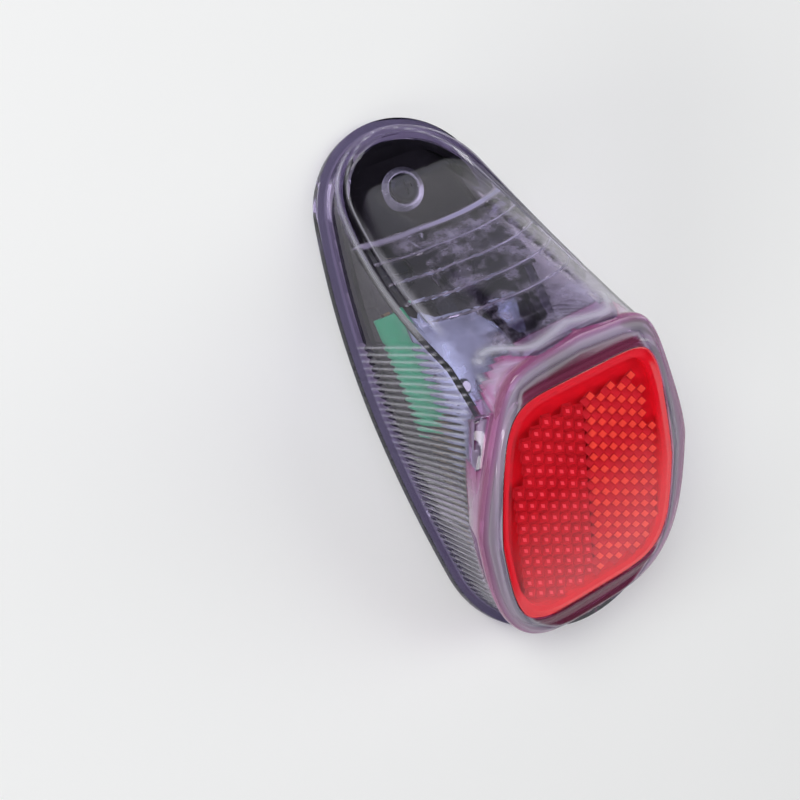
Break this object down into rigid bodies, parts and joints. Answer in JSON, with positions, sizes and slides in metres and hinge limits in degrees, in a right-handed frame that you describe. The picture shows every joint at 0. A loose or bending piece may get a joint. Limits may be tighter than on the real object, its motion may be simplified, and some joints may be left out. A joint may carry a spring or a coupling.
{
  "type": "bicycle rear light",
  "caption": "Egg-shaped bicycle rear light: clear fluted cover with a slanted red prism reflector, over a black carrier with a screw-base bulb.",
  "frame": {"origin": "middle of the underside, on the mounting surface", "axes": "+Z away from the mounting surface, +Y from the heel with the reflector to the narrow tip, +X across"},
  "size_m": [0.0456, 0.1006, 0.0409],
  "materials": {
    "clear_plastic": "clear, moulded, faint lilac",
    "red_plastic": "clear red with moulded prisms behind",
    "bright_steel": "bright zinc plate",
    "plate_steel": "zinc plated",
    "black_rubber": "matt",
    "black_plastic": "satin black",
    "brass": "plain",
    "brown_moulding": "dark brown moulding",
    "bulb_brass": "thin rolled brass",
    "black_glass": "fused black glass",
    "solder": "tinned",
    "clear_glass": "clear blown glass",
    "tungsten": "drawn wire",
    "bright_sheet": "polished",
    "green_sleeve": "soft green sleeve"
  },
  "bodies": {
    "base": {"base_pad": "black_rubber", "base_plate": "plate_steel", "carrier": "black_plastic", "screw_insert": "brass", "mount_bushes": "plate_steel", "cable_grommet": "black_rubber", "holder_body": "brown_moulding", "holder_shell": "brass", "contact_rivet": "brass", "light_dish": "bright_sheet", "dish_rivets": "bright_steel", "earth_strip": "brass", "earth_rivet": "bright_steel", "live_lead": "brass", "lead_sleeve": "green_sleeve", "terminal_block": "brass", "cup_washer": "bright_steel", "carrier_screw": "bright_steel", "terminal_hood": "black_plastic"},
    "lens": {"cover": "clear_plastic", "reflector": "red_plastic"},
    "contact": {"centre_contact": "brass"},
    "bulb_slider": {"bulb_tip": "solder", "bulb_insulator": "black_glass"},
    "bulb": {"bulb_cap": "bulb_brass", "bulb_glass": "clear_glass", "bulb_stem": "clear_glass", "bulb_filament": "tungsten"},
    "clamp": {"clamp_plate": "bright_steel"},
    "clamp_screw": {"terminal_screw": "bright_steel"}
  },
  "joints": [
    {"name": "cover_swing", "type": "hinge", "parent": "base", "child": "lens", "pos_m": [0, -0.0497, 0.0008], "axis": [1, 0, 0], "range_deg": [0, 70]},
    {"name": "contact_spring", "type": "slide", "parent": "base", "child": "contact", "axis": [0, -0.866, -0.5], "range_m": [0, 0.0008], "stiffness_N_per_m": 1500},
    {"name": "bulb_travel", "type": "slide", "parent": "base", "child": "bulb_slider", "axis": [0, 0.866, 0.5], "range_m": [0, 0.009]},
    {"name": "bulb_turn", "type": "hinge", "parent": "bulb_slider", "child": "bulb", "pos_m": [0, -0.02005, 0.01361], "axis": [0, 0.866, 0.5], "range_deg": [0, 1802]},
    {"name": "clamp_travel", "type": "slide", "parent": "base", "child": "clamp", "axis": [0, 0, 1], "range_m": [0, 0.0014]},
    {"name": "terminal_screw_turn", "type": "hinge", "parent": "clamp", "child": "clamp_screw", "pos_m": [-0.01, 0.0234, 0.008], "axis": [0, 0, 1], "range_deg": [0, 1010]}
  ],
  "couplings": [
    {"joint": "bulb_turn", "follows": "bulb_travel", "rad_per_m": 3490.7},
    {"joint": "terminal_screw_turn", "follows": "clamp_travel", "rad_per_m": 12566}
  ]
}
